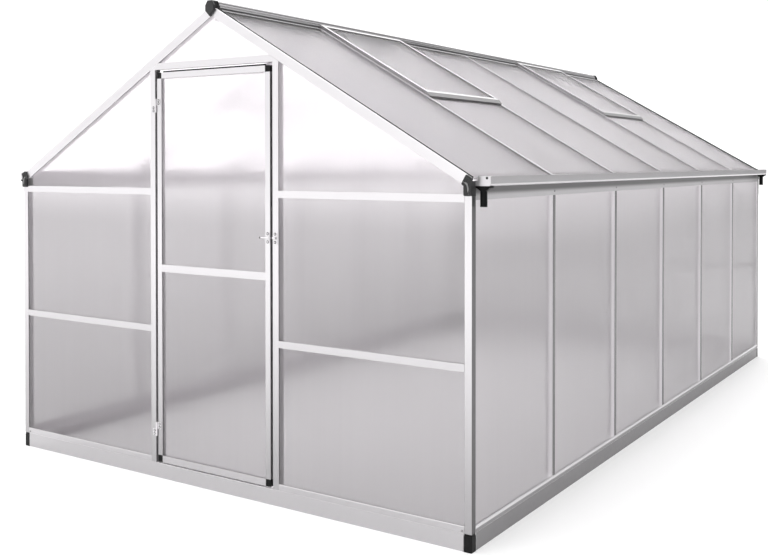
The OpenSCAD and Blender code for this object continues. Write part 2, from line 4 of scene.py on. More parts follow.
import bpy
import numpy as np
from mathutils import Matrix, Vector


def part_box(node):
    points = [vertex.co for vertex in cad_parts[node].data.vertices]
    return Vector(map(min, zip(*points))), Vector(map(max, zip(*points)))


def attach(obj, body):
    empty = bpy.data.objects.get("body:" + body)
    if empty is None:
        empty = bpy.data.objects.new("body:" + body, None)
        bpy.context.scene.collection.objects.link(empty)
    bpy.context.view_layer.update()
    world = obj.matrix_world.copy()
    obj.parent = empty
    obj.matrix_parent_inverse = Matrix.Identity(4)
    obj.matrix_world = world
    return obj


# Studio: the greenhouse stands on pale ground in even light, seen from its front right corner at head height.
# The lens is shifted so that the posts stay upright; a broad soft lamp is in front, the right side is dimmer,
# and the backdrop itself is white all round.
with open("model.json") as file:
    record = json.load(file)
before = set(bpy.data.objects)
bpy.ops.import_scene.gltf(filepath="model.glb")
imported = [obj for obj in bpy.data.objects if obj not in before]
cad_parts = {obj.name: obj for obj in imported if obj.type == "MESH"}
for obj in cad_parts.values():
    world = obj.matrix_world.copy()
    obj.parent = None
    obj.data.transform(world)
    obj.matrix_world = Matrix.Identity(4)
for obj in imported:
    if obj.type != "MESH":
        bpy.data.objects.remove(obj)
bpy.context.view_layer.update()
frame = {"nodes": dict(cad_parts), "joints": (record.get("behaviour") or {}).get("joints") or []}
nodes = frame["nodes"]
scene = bpy.context.scene
scene.view_settings.view_transform = "Standard"

image_width, image_height = 768, 556
focal_pixels = 979.5
centre_pixel = (417.9, 176.6)
camera_place = (2.930, -5.106, 1.382)
camera_turn, camera_dip = 0.564, 0.014
camera_data = bpy.data.cameras.new("studio_camera")
camera_data.sensor_fit = "HORIZONTAL"
camera_data.sensor_width = 36.0
camera_data.lens = camera_data.sensor_width * focal_pixels / image_width
camera_data.shift_x = (image_width / 2 - centre_pixel[0]) / image_width
camera_data.shift_y = (centre_pixel[1] - image_height / 2) / image_width
camera = bpy.data.objects.new("studio_camera", camera_data)
camera.location = camera_place
camera.rotation_euler = (math.pi / 2 - camera_dip, 0.0, camera_turn)
scene.collection.objects.link(camera)
scene.camera = camera

lamp_tilt, lamp_turn, lamp_spread = math.radians(55), math.radians(14), math.radians(40)
lamp_data = bpy.data.lights.new("front_softbox", "SUN")
lamp_data.energy = 0.12
lamp_data.angle = lamp_spread
lamp = bpy.data.objects.new("front_softbox", lamp_data)
lamp.rotation_euler = (lamp_tilt, 0.0, lamp_turn)
scene.collection.objects.link(lamp)

backdrop_level = 1.2
world = bpy.data.worlds.new("studio_room")
scene.world = world
world.use_nodes = True
room = world.node_tree
room.nodes.clear()
room_output = room.nodes.new("ShaderNodeOutputWorld")
room_light = room.nodes.new("ShaderNodeBackground")
room_direction = room.nodes.new("ShaderNodeTexCoord")
room_rays = room.nodes.new("ShaderNodeLightPath")


def value_of(tree, operation, first, second=None):
    """One Math node: its first value is a socket, its second a socket or a number."""
    node = tree.nodes.new("ShaderNodeMath")
    node.operation = operation
    tree.links.new(first, node.inputs[0])
    if isinstance(second, float):
        node.inputs[1].default_value = second
    elif second is not None:
        tree.links.new(second, node.inputs[1])
    return node.outputs["Value"]


def smooth_range(tree, level, start, end, low=0.0, high=1.0):
    """Goes smoothly from low to high as a level goes from start to end, and stays level beyond them."""
    step = tree.nodes.new("ShaderNodeMapRange")
    step.interpolation_type = "SMOOTHSTEP"
    step.inputs["From Min"].default_value = start
    step.inputs["From Max"].default_value = end
    step.inputs["To Min"].default_value = low
    step.inputs["To Max"].default_value = high
    tree.links.new(level, step.inputs["Value"])
    return step.outputs["Result"]


def room_lobe(towards, edge, core, level):
    """Level 1 all round the room, going smoothly to another level within a cone about one direction."""
    aim = room.nodes.new("ShaderNodeVectorMath")
    aim.operation = "DOT_PRODUCT"
    aim.inputs[1].default_value = towards
    room.links.new(room_direction.outputs["Generated"], aim.inputs[0])
    return smooth_range(room, aim.outputs["Value"], edge, core, 1.0, level)


ceiling_light = room_lobe((0.0, 0.0, 1.0), edge=0.05, core=0.55, level=1.75)
dim_right = room_lobe((0.97, 0.2, 0.1), edge=0.15, core=0.85, level=0.45)
dark_corner = room_lobe((0.56, 0.83, 0.0), edge=0.74, core=0.93, level=0.25)
bright_back = room_lobe((-0.65, 0.75, 0.16), edge=0.6, core=0.95, level=1.6)
over_and_right = value_of(room, "MULTIPLY", ceiling_light, dim_right)
behind = value_of(room, "MULTIPLY", dark_corner, bright_back)
room_level = value_of(room, "MULTIPLY", over_and_right, behind)
white_backdrop = room.nodes.new("ShaderNodeMix")
white_backdrop.inputs["B"].default_value = backdrop_level
room.links.new(room_rays.outputs["Is Camera Ray"], white_backdrop.inputs["Factor"])
room.links.new(room_level, white_backdrop.inputs["A"])
room.links.new(white_backdrop.outputs["Result"], room_light.inputs["Color"])
room_light.inputs["Strength"].default_value = 1.0
room.links.new(room_light.outputs["Background"], room_output.inputs["Surface"])


# Ground: one wide pale sheet under the building. What is seen of it, straight or by way of metal and panels,
# is lifted a little towards white, and the building's soft shadow stays on it.
def new_mesh(name, points, faces, smooth):
    """Puts an array of points and an array of equal-sided faces into a mesh object at the origin."""
    mesh = bpy.data.meshes.new(name)
    sides = faces.shape[1]
    mesh.vertices.add(len(points))
    mesh.vertices.foreach_set("co", np.ascontiguousarray(points, dtype=np.float32).ravel())
    mesh.loops.add(faces.size)
    mesh.loops.foreach_set("vertex_index", np.ascontiguousarray(faces, dtype=np.int32).ravel())
    mesh.polygons.add(len(faces))
    mesh.polygons.foreach_set("loop_start", np.arange(0, faces.size, sides, dtype=np.int32))
    mesh.polygons.foreach_set("use_smooth", np.full(len(faces), smooth, dtype=bool))
    mesh.update(calc_edges=True)
    piece = bpy.data.objects.new(name, mesh)
    scene.collection.objects.link(piece)
    return piece


def new_material(name):
    """A node material with one Principled shader; gives the material, its tree and the shader."""
    material = bpy.data.materials.new(name)
    material.use_nodes = True
    return material, material.node_tree, material.node_tree.nodes["Principled BSDF"]


def wear(piece, material):
    """Puts one material on a piece, in place of any that it had."""
    piece.data.materials.clear()
    piece.data.materials.append(material)


ground_reach = 40.0
ground_white = (0.9, 0.9, 0.9, 1)
ground_lift = 0.12
ground_corners = np.array([[-1, -1, 0], [1, -1, 0], [1, 1, 0], [-1, 1, 0]]) * ground_reach
ground = new_mesh("ground", ground_corners, np.array([[0, 1, 2, 3]]), False)
pale_ground, ground_tree, ground_shader = new_material("pale_ground")
ground_shader.inputs["Base Color"].default_value = ground_white
ground_shader.inputs["Roughness"].default_value = 0.9
ground_shader.inputs["Specular IOR Level"].default_value = 0.1
ground_shader.inputs["Emission Color"].default_value = (1, 1, 1, 1)
ground_rays = ground_tree.nodes.new("ShaderNodeLightPath").outputs
seen_straight = value_of(ground_tree, "MAXIMUM", ground_rays["Is Camera Ray"], ground_rays["Is Glossy Ray"])
seen_at_all = value_of(ground_tree, "MAXIMUM", seen_straight, ground_rays["Is Transmission Ray"])
lifted = value_of(ground_tree, "MULTIPLY", seen_at_all, ground_lift)
ground_tree.links.new(lifted, ground_shader.inputs["Emission Strength"])
wear(ground, pale_ground)


# Base rails: folded galvanised steel channel lying on the ground. The zinc has crystallised in soft patches,
# and its dull skin spreads the light. The outer faces are painted darker, as painted shade, more so along the
# walls; inside the channel it is bright.
def corners(node):
    """A CAD node's lowest and highest corners, to a tenth of a millimetre."""
    return np.round(np.array(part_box(node)), 4)


def new_group(name, inputs, outputs):
    """A node group with named sockets, each with its kind; gives the group, its entry and its way out."""
    group = bpy.data.node_groups.new(name, "ShaderNodeTree")
    for way, sockets in (("INPUT", inputs), ("OUTPUT", outputs)):
        for socket, kind in sockets.items():
            group.interface.new_socket(socket, in_out=way, socket_type="NodeSocket" + kind)
    return group, group.nodes.new("NodeGroupInput").outputs, group.nodes.new("NodeGroupOutput").inputs


def placed(tree, group):
    """Places a node group in a material."""
    node = tree.nodes.new("ShaderNodeGroup")
    node.node_tree = group
    return node


def noise(tree, where, scale, detail):
    """Noise over a vector, with so many cells to the unit and so many finer layers."""
    texture = tree.nodes.new("ShaderNodeTexNoise")
    texture.inputs["Scale"].default_value = scale
    texture.inputs["Detail"].default_value = detail
    tree.links.new(where, texture.inputs["Vector"])
    return texture


def parts_of(tree, vector):
    """The X, Y and Z of a vector."""
    parts = tree.nodes.new("ShaderNodeSeparateXYZ")
    tree.links.new(vector, parts.inputs["Vector"])
    return parts.outputs


def patch_group():
    """Group: cells of about one over Scale metres, each with its own level, softened with finer noise."""
    inputs = {"Vector": "Vector", "Scale": "Float"}
    group, entry, leave = new_group("zinc_patches", inputs, {"Level": "Float"})
    cells = group.nodes.new("ShaderNodeTexVoronoi")
    shade = noise(group, entry["Vector"], scale=1.0, detail=4.0)
    apart = group.nodes.new("ShaderNodeSeparateColor")
    blend = group.nodes.new("ShaderNodeMix")
    blend.inputs["Factor"].default_value = 0.55
    group.links.new(entry["Vector"], cells.inputs["Vector"])
    group.links.new(entry["Scale"], cells.inputs["Scale"])
    group.links.new(entry["Scale"], shade.inputs["Scale"])
    group.links.new(cells.outputs["Color"], apart.inputs["Color"])
    group.links.new(apart.outputs["Red"], blend.inputs["A"])
    group.links.new(shade.outputs["Fac"], blend.inputs["B"])
    group.links.new(blend.outputs["Result"], leave["Level"])
    return group


def painted_side_shade_group():
    """Group: the Front colour on most faces, and the Side colour, which is painted shade, where a face is
    turned more than Begins and lies beyond Outside."""
    numbers = {name: "Float" for name in ("Facing", "Reach", "Begins", "Outside")}
    colours = {"Front": "Color", "Side": "Color"}
    group, entry, leave = new_group("painted_side_shade", numbers | colours, {"Color": "Color"})
    turned = value_of(group, "GREATER_THAN", entry["Facing"], entry["Begins"])
    beyond = value_of(group, "GREATER_THAN", entry["Reach"], entry["Outside"])
    skin = group.nodes.new("ShaderNodeMix")
    skin.data_type = "RGBA"
    group.links.new(value_of(group, "MULTIPLY", turned, beyond), skin.inputs["Factor"])
    group.links.new(entry["Front"], skin.inputs["A"])
    group.links.new(entry["Side"], skin.inputs["B"])
    group.links.new(skin.outputs["Result"], leave["Color"])
    return group


zinc_patches = patch_group()
painted_side_shade = painted_side_shade_group()
bump_strength = 0.6
side_turn = 0.75


def two_tones(tree, level, dark, light, socket):
    """Feeds a colour socket with a mix from dark to light by a level."""
    tones = tree.nodes.new("ShaderNodeMix")
    tones.data_type = "RGBA"
    tones.inputs["A"].default_value = (*dark, 1)
    tones.inputs["B"].default_value = (*light, 1)
    tree.links.new(level, tones.inputs["Factor"])
    tree.links.new(tones.outputs["Result"], socket)


def between(tree, level, low, high, socket):
    """Feeds a value socket with a level carried from 0..1 to low..high."""
    spread = tree.nodes.new("ShaderNodeMapRange")
    spread.inputs["To Min"].default_value = low
    spread.inputs["To Max"].default_value = high
    tree.links.new(level, spread.inputs["Value"])
    tree.links.new(spread.outputs["Result"], socket)


def raised(tree, level, depth, shader):
    """Feeds the shader's normal with a bump of that depth in metres."""
    bump = tree.nodes.new("ShaderNodeBump")
    bump.inputs["Strength"].default_value = bump_strength
    bump.inputs["Distance"].default_value = depth
    tree.links.new(level, bump.inputs["Height"])
    tree.links.new(bump.outputs["Normal"], shader.inputs["Normal"])


def object_vector(tree):
    """The piece's own coordinates, in metres."""
    return tree.nodes.new("ShaderNodeTexCoord").outputs["Object"]


def turned_sides(tree, shade_faces, begins, outside, axis="X"):
    """Places the painted side shade group for the faces that shade_faces names: outer or inner ones by the
    normal's part along the axis times the sign of the place on it, top or under ones by the normal's part
    upwards."""
    skin = placed(tree, painted_side_shade)
    skin.inputs["Begins"].default_value = begins
    normal = parts_of(tree, tree.nodes.new("ShaderNodeTexCoord").outputs["Normal"])
    if shade_faces in ("top", "under"):
        facing = normal["Z"]
        skin.inputs["Reach"].default_value = 1.0
    else:
        place = parts_of(tree, object_vector(tree))[axis]
        facing = value_of(tree, "MULTIPLY", normal[axis], value_of(tree, "SIGN", place))
        skin.inputs["Outside"].default_value = outside
        tree.links.new(value_of(tree, "ABSOLUTE", place), skin.inputs["Reach"])
    way = 1.0 if shade_faces in ("outer", "top") else -1.0
    tree.links.new(value_of(tree, "MULTIPLY", facing, way), skin.inputs["Facing"])
    return skin


def zinc_material(name, dark, light, scale, roughness, metallic, outer_share=1.0, axis="X", outside=0.0):
    """Zinc skin: patches drive colour and roughness; the outer faces keep only a share of the tone, as
    painted shade.
    """
    spread = 0.08
    material, tree, shader = new_material(name)
    patches = placed(tree, zinc_patches)
    patches.inputs["Scale"].default_value = scale
    tree.links.new(object_vector(tree), patches.inputs["Vector"])
    level = patches.outputs["Level"]
    skin = turned_sides(tree, "outer", side_turn, outside, axis)
    two_tones(tree, level, dark, light, skin.inputs["Front"])
    two_tones(tree, level, dark * outer_share, light * outer_share, skin.inputs["Side"])
    tree.links.new(skin.outputs["Color"], shader.inputs["Base Color"])
    shader.inputs["Metallic"].default_value = metallic
    between(tree, level, roughness - spread, roughness + spread, shader.inputs["Roughness"])
    return material


half_width, half_length, post_top = corners("corner_posts")[1]
skin_depth = 0.0025
wall_face, gable_face = half_width - skin_depth, half_length - skin_depth
metal_tint = np.array([1.0, 0.976, 1.0])
inner_zinc = metal_tint * 0.89, metal_tint * 0.95
end_zinc = zinc_material("galvanised_ends", *inner_zinc, scale=60.0, roughness=0.45, metallic=0.8,
                         outer_share=0.56, axis="Y", outside=gable_face)
side_zinc = zinc_material("galvanised_sides", *inner_zinc, scale=60.0, roughness=0.45, metallic=0.6,
                          outer_share=0.3, axis="X", outside=wall_face)
wear(nodes["base_end_rails"], end_zinc)
wear(nodes["base_side_rails"], side_zinc)


# Feet and other black mouldings: injection-moulded plastic with a fine spark-eroded skin, slightly dusty.
# A foot joins two base rails and carries the post on a spigot.
def moulded_material(name, dark, light, roughness, gloss):
    """Moulded plastic: fine noise bump, and a broad soft dust level in colour and roughness."""
    dust_scale, grain_scale, grain_depth = 35.0, 900.0, 0.0004
    smoother, rougher = 0.1, 0.12
    material, tree, shader = new_material(name)
    shader.inputs["Specular IOR Level"].default_value = gloss
    where = object_vector(tree)
    dust = noise(tree, where, dust_scale, detail=5.0).outputs["Fac"]
    grain = noise(tree, where, grain_scale, detail=2.0).outputs["Fac"]
    two_tones(tree, dust, dark, light, shader.inputs["Base Color"])
    between(tree, dust, roughness - smoother, roughness + rougher, shader.inputs["Roughness"])
    raised(tree, grain, grain_depth, shader)
    return material


black_moulding = moulded_material("black_moulding", (0.003, 0.003, 0.0035), (0.009, 0.009, 0.0095),
                                  roughness=0.42, gloss=0.15)
wear(nodes["base_corner_caps"], black_moulding)
wear(nodes["door_corner_blocks"], black_moulding)


# Aluminium sections: extruded bars with fine die lines along their length and a satin mill finish; faces that
# look to the sides or down are painted darker, as painted shade. Posts and rails of the gables are bright,
# darker towards the ground; sills lie on the base.
def die_line_group():
    """Group: two noises, one of fine lines and one of slow tone; the vector is squeezed along the lines."""
    group, entry, leave = new_group("die_lines", {"Vector": "Vector"}, {"Lines": "Float", "Tone": "Float"})
    lines = noise(group, entry["Vector"], scale=1.0, detail=6.0)
    lines.inputs["Roughness"].default_value = 0.7
    tone = noise(group, entry["Vector"], scale=0.05, detail=3.0)
    group.links.new(lines.outputs["Fac"], leave["Lines"])
    group.links.new(tone.outputs["Fac"], leave["Tone"])
    return group


def smooth_step_group():
    """Group: level 0 up to From on one axis, rising smoothly to 1 at To."""
    numbers = {name: "Float" for name in ("Along", "From", "To")}
    group, entry, leave = new_group("smooth_step", numbers, {"Level": "Float"})
    step = group.nodes.new("ShaderNodeMapRange")
    step.interpolation_type = "SMOOTHSTEP"
    group.links.new(entry["Along"], step.inputs["Value"])
    group.links.new(entry["From"], step.inputs["From Min"])
    group.links.new(entry["To"], step.inputs["From Max"])
    group.links.new(step.outputs["Result"], leave["Level"])
    return group


die_lines = die_line_group()
smooth_step = smooth_step_group()


def step_along(tree, axis, start, end):
    """Level that rises from 0 to 1 between two places on one axis of the piece's coordinates."""
    step = placed(tree, smooth_step)
    step.inputs["From"].default_value = start
    step.inputs["To"].default_value = end
    tree.links.new(parts_of(tree, object_vector(tree))[axis], step.inputs["Along"])
    return step.outputs["Level"]


def metal_by_height(tree, tones, socket):
    """Feeds a colour socket with one tone of the metal up to a height and another from a second height on."""
    start, end, below, above = tones
    two_tones(tree, step_along(tree, "Z", start, end), metal_tint * below, metal_tint * above, socket)


def aluminium_material(name, run, front, side, begins=side_turn, turn_y=0.0, metallic=0.95, gloss=0.5,
                       outside=0.0, shade_faces="outer"):
    """Mill aluminium: the Mapping node turns the coordinates to the member and squeezes them along its run.
    Front and side are tones, or two heights and the tones below and above them. Shade_faces names the faces
    with
    the side tone, which is painted shade: outer or inner sides, top or under."""
    across_line, along_line, line_depth = 400.0, 1.5, 0.0002
    darker, lighter = 0.05, 0.03
    smoothest, roughest = 0.24, 0.42
    material, tree, shader = new_material(name)
    facing = tree.nodes.new("ShaderNodeMapping")
    facing.inputs["Rotation"].default_value = (0, turn_y, 0)
    facing.inputs["Scale"].default_value = [along_line if axis == run else across_line for axis in "XYZ"]
    grain = placed(tree, die_lines)
    tree.links.new(object_vector(tree), facing.inputs["Vector"])
    tree.links.new(facing.outputs["Vector"], grain.inputs["Vector"])
    skin = turned_sides(tree, shade_faces, begins, outside)
    if isinstance(front, tuple):
        metal_by_height(tree, front, skin.inputs["Front"])
    else:
        dark, light = metal_tint * (front - darker), metal_tint * (front + lighter)
        two_tones(tree, grain.outputs["Tone"], dark, light, skin.inputs["Front"])
    if isinstance(side, tuple):
        metal_by_height(tree, side, skin.inputs["Side"])
    else:
        skin.inputs["Side"].default_value = (*metal_tint * side, 1)
    tree.links.new(skin.outputs["Color"], shader.inputs["Base Color"])
    shader.inputs["Metallic"].default_value = metallic
    shader.inputs["Specular IOR Level"].default_value = gloss
    between(tree, grain.outputs["Lines"], smoothest, roughest, shader.inputs["Roughness"])
    raised(tree, grain.outputs["Lines"], line_depth, shader)
    return material


sill_foot = corners("front_sills")[0][2]
stile_skin_depth = 0.012
stile_side = corners("door_stiles")[1][0] - stile_skin_depth
# Front tones of uprights and rails: darker towards the ground.
upright_darker_low = (0.0, 1.15, 0.4, 0.72)
rail_darker_low = (0.4, 1.25, 0.52, 0.74)
# The side sills' outer faces are painted darker below their top: painted shade.
shaded_sill = (sill_foot + 0.011, sill_foot + 0.015, 0.28, 0.8)
corner_skin = aluminium_material("aluminium_corner_post", "Z", front=upright_darker_low, side=0.12,
                                 outside=wall_face)
upright = aluminium_material("aluminium_upright", "Z", front=upright_darker_low, side=0.22)
door_post_skin = aluminium_material("aluminium_door_post", "Z", front=upright_darker_low, side=0.2, metallic=0.6,
                                    shade_faces="inner")
stile_skin = aluminium_material("aluminium_stile", "Z", front=upright_darker_low, side=0.2, outside=stile_side)
crosswise = aluminium_material("aluminium_crosswise", "X", front=rail_darker_low, side=0.14, begins=0.5,
                               shade_faces="under")
side_sill_skin = aluminium_material("aluminium_side_sill", "Y", front=0.9, side=shaded_sill, metallic=0.3,
                                    outside=wall_face)
wear(nodes["corner_posts"], corner_skin)
wear(nodes["door_posts"], door_post_skin)
wear(nodes["door_stiles"], stile_skin)
wear(nodes["rear_gable_posts"], upright)
for name in ("front_sills", "rear_sills", "door_head", "front_gable_rails", "rear_gable_rails", "door_rails"):
    wear(nodes[name], crosswise)
wear(nodes["side_sills"], side_sill_skin)


# Screws: zinc-plated pan heads with a cross recess, in the sills next to the corner posts and at the top of
# every wall bar, where a bolt holds the bar to the eave rail.
head_sides = 16


def turned_heads(centres, outward, radius, height):
    """Pan heads at many places: rings about an axis, each with its radius and height from a dome profile; on
    the two inner rings every fourth point is sunk, which makes the cross recess."""
    rim = np.array([0.22, 0.5, 0.6, 0.86, 1.0, 1.0]) * radius
    rise = np.array([0.98, 0.92, 0.88, 0.62, 0.3, -0.25]) * height
    recess, recess_floor = 0.6 * height, 0.38 * height
    spoke = np.arange(head_sides)
    angle = spoke * math.tau / head_sides
    sunk = recess * ((spoke % 4 == 0) & (np.arange(len(rim))[:, None] < 2))
    across, up = rim[:, None] * np.cos(angle), rim[:, None] * np.sin(angle)
    rings = np.stack([across, up, rise[:, None] - sunk], axis=-1)
    poles = np.array([[0, 0, recess_floor], [0, 0, rise[-1]]])
    local = np.concatenate([rings.reshape(-1, 3), poles])
    after = (spoke + 1) % head_sides
    first = np.arange(len(rim) - 1)[:, None] * head_sides
    a, b = (first + spoke).ravel(), (first + after).ravel()
    top, bottom = np.full(head_sides, len(local) - 2), np.full(head_sides, len(local) - 1)
    last = (len(rim) - 1) * head_sides
    faces = np.concatenate([
        np.stack([a, a + head_sides, b + head_sides], axis=1), np.stack([a, b + head_sides, b], axis=1),
        np.stack([top, spoke, after], axis=1), np.stack([bottom, last + after, last + spoke], axis=1)])
    centres, w = np.asarray(centres, float), np.asarray(outward, float)
    u = np.cross(np.array([0.0, 0.0, 1.0]), w)
    axes = np.stack([u, np.cross(w, u), w], axis=1)
    points = np.einsum("pk,nkc->npc", local, axes) + centres[:, None]
    index = faces[None] + (np.arange(len(centres)) * len(local))[:, None, None]
    return points.reshape(-1, 3), index.reshape(-1, 3)


def places_at(xs, ys, zs):
    """Every place with one of the Xs, one of the Ys and one of the Zs."""
    return np.stack(np.meshgrid(xs, ys, zs), axis=-1).reshape(-1, 3)


zinc_heads = zinc_material("zinc_screws", metal_tint * 0.26, metal_tint * 0.4, scale=500.0, roughness=0.3,
                           metallic=0.9)
both = np.array([-1.0, 1.0])
bay_count = 6
bar_pitch = 2 * half_length / bay_count
bar_places = np.arange(1, bay_count) * bar_pitch - half_length
sill_end = corners("front_sills")[1][0]
eave_foot = corners("right_eave_rail")[0][2]
sill_screw_inset, sill_screw_rise, bar_bolt_rise = 0.0095, 0.0075, 0.0165
pan_radius, pan_height = 0.0048, 0.003
sill_screws = places_at(both * (sill_end - sill_screw_inset), both * half_length,
                        [sill_foot + sill_screw_rise])
bar_bolts = places_at(both * half_width, bar_places, [eave_foot + bar_bolt_rise])
screw_places = np.concatenate([sill_screws, bar_bolts])
screw_ways = np.concatenate([np.sign(sill_screws) * [0, 1, 0], np.sign(bar_bolts) * [1, 0, 0]])
screw_heads = turned_heads(screw_places, screw_ways, pan_radius, pan_height)
frame_screws = new_mesh("frame_screws", *screw_heads, True)
wear(frame_screws, zinc_heads)
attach(frame_screws, "building")


# Wall bars: glazing bars that stand between the panels, their outer flange on the weather side and the web
# and bolt channel inside. The flange's outer face is painted one of the darkest of the frame: painted shade.
wall_bar_skin = aluminium_material("aluminium_wall_bar", "Z", front=0.8, side=0.15, begins=0.5, metallic=0.2,
                                   outside=wall_face)
wear(nodes["left_wall_bars"], wall_bar_skin)
wear(nodes["right_wall_bars"], wall_bar_skin)


# Eave rails and gutters: long extrusions along both walls. The rail's outer face is painted darker towards
# its top, as the gutter's shadow, and the gutter's outer face a little darker, as shade; so the gutter's face
# is brighter than the rail. Each gutter is closed by a plate with one black screw.
shaded_eave = (eave_foot + 0.012, eave_foot + 0.032, 0.52, 0.12)
eave_skin = aluminium_material("aluminium_eave_rail", "Y", front=0.85, side=shaded_eave, metallic=0.3,
                               outside=wall_face)
gutter_skin = aluminium_material("aluminium_gutter", "Y", front=0.68, side=0.54)
wear(nodes["left_eave_rail"], eave_skin)
wear(nodes["right_eave_rail"], eave_skin)
for name in ("gutter_floors", "gutter_fronts", "gutter_ends"):
    wear(nodes[name], gutter_skin)
plate_corner = corners("gutter_ends")[1]
plate_screw_inset, plate_screw_drop = 0.0146, 0.0065
plate_screw_radius, plate_screw_height = 0.0045, 0.003
plate_screws = places_at(both * (plate_corner[0] - plate_screw_inset), both * plate_corner[1],
                         [plate_corner[2] - plate_screw_drop])
plate_ways = np.sign(plate_screws) * [0, 1, 0]
plate_screw_heads = turned_heads(plate_screws, plate_ways, plate_screw_radius, plate_screw_height)
gutter_screws = new_mesh("gutter_screws", *plate_screw_heads, True)
wear(gutter_screws, black_moulding)
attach(gutter_screws, "building")


# Eave corners and outlets: moulded elbows, nearly black, with a rounded rib that follows the bend from rafter
# to post, painted paler grey as a highlight, and black outlets that hang from the gutter's ends.
def tube(rings):
    """Closed skin over rings of points: each ring is joined to the next, and a fan about its mean closes each
    end. The faces are turned round where the enclosed volume comes out negative."""
    count, around = rings.shape[:2]
    points = np.concatenate([rings.reshape(-1, 3), rings[:1].mean(axis=1), rings[-1:].mean(axis=1)])
    place = np.arange(around)
    after = (place + 1) % around
    first = np.arange(count - 1)[:, None] * around
    a, b = (first + place).ravel(), (first + after).ravel()
    start, end = np.full(around, count * around), np.full(around, count * around + 1)
    last = (count - 1) * around
    faces = np.concatenate([
        np.stack([a, b, b + around], axis=1), np.stack([a, b + around, a + around], axis=1),
        np.stack([start, after, place], axis=1), np.stack([end, last + place, last + after], axis=1)])
    corner = points[faces]
    volume = np.einsum("ij,ij->", corner[:, 0], np.cross(corner[:, 1], corner[:, 2]))
    return points, faces if volume > 0 else faces[:, ::-1]


def rings_of(x, y, z):
    """Rings of points from arrays of X, Y and Z that are stretched to one shape, one row for each ring."""
    return np.stack(np.broadcast_arrays(x, y, z), axis=-1)


def mirrored(points, faces, ways):
    """Copies of one shape with X and Y kept or reversed; a single reversal also turns the faces round."""
    copies = np.concatenate([points * [sx, sy, 1.0] for sx, sy in ways])
    turned = np.concatenate([(faces if sx * sy > 0 else faces[:, ::-1]) + i * len(points)
                             for i, (sx, sy) in enumerate(ways)])
    return copies, turned


four_ways = [(1, 1), (-1, 1), (1, -1), (-1, -1)]
grey_moulding = moulded_material("dark_grey_moulding", (0.012, 0.012, 0.0125), (0.03, 0.03, 0.031),
                                 roughness=0.42, gloss=0.35)
rib_moulding = moulded_material("grey_rib", (0.15, 0.15, 0.152), (0.22, 0.22, 0.222),
                                roughness=0.36, gloss=0.5)
glossy_black = moulded_material("glossy_black_moulding", (0.002, 0.002, 0.0022), (0.005, 0.005, 0.0053),
                                roughness=0.3, gloss=0.1)
wear(nodes["eave_corner_caps"], grey_moulding)
wear(nodes["ridge_end_caps"], grey_moulding)
wear(nodes["gutter_outlets"], glossy_black)

# The rib's path is a rational curve of second degree in X and Z: the weight of its middle point pulls it
# close to the bend. Its half round section swells from the tips to its full radius.
rib_ends = np.array([half_width, post_top]) + [[-0.0305, 0.0500], [-0.0110, 0.0420], [-0.0100, 0.0040]]
rib_turn, rib_steps, arc_steps = 3.0, 33, 9
rib_radius, rib_flatness, rib_sunk = 0.0038, 0.8, 0.0006
rib_tip, rib_taper = 0.15, 8
solid_rib = 0.0015
cap_face = corners("eave_corner_caps")[0][1] + solid_rib
along = np.linspace(0, 1, rib_steps)[:, None]
weight = np.concatenate([(1 - along) ** 2, 2 * rib_turn * along * (1 - along), along ** 2], axis=1)
rib_path = weight @ rib_ends / weight.sum(axis=1, keepdims=True)
rib_run = np.gradient(rib_path, axis=0)
rib_run /= np.linalg.norm(rib_run, axis=1, keepdims=True)
rib_across = np.stack([-rib_run[:, 1], rib_run[:, 0]], axis=1)
swell = rib_radius * (rib_tip + (1 - rib_tip) * (1 - (2 * along - 1) ** rib_taper))
half_turn = np.linspace(0, math.pi, arc_steps)
rib_side = swell * np.cos(half_turn)
rib_front = cap_face + rib_sunk - rib_flatness * swell * np.sin(half_turn)
rib_rings = rings_of(rib_path[:, :1] + rib_across[:, :1] * rib_side, rib_front,
                     rib_path[:, 1:] + rib_across[:, 1:] * rib_side)
elbow_ribs = new_mesh("elbow_ribs", *mirrored(*tube(rib_rings), four_ways), True)
wear(elbow_ribs, rib_moulding)
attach(elbow_ribs, "building")


# Ridge: an extrusion along the top with two wings for the panels. A fluted cover on either side of its crest
# gives the long light and dark lines; the ends carry the moulded shields.
# The ridge's faces towards the sides are painted darker: painted shade.
ridge_skin = aluminium_material("aluminium_ridge", "Y", front=0.4, side=0.25, begins=0.8)
wear(nodes["ridge_bar"], ridge_skin)
roof_slope = math.radians(29.7)
eave_rise = 0.064
apex = post_top + eave_rise + math.tan(roof_slope) * half_width
cover_end = corners("ridge_bar")[1][1]
cover_foot, cover_top, cover_wall = -0.0085, 0.0182, 0.0012
cover_reach, cover_lean = 0.0240, 0.0122
cover_flutes, cover_flute_depth, cover_steps = 3, 0.0009, 49
cover_rise = np.linspace(cover_foot, cover_top, cover_steps)
cover_part = (cover_rise - cover_foot) / (cover_top - cover_foot)
cover_wave = cover_flute_depth * (1 - np.cos(math.tau * cover_flutes * cover_part))
cover_out = cover_reach - cover_lean * cover_part + cover_wave
cover_x = np.concatenate([cover_out, cover_out[::-1] - cover_wall])
cover_z = apex + np.concatenate([cover_rise, cover_rise[::-1]])
cover_rings = rings_of(cover_x, both[:, None] * cover_end, cover_z)
ridge_covers = new_mesh("ridge_covers", *mirrored(*tube(cover_rings), [(1, 1), (-1, 1)]), True)
wear(ridge_covers, ridge_skin)
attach(ridge_covers, "building")
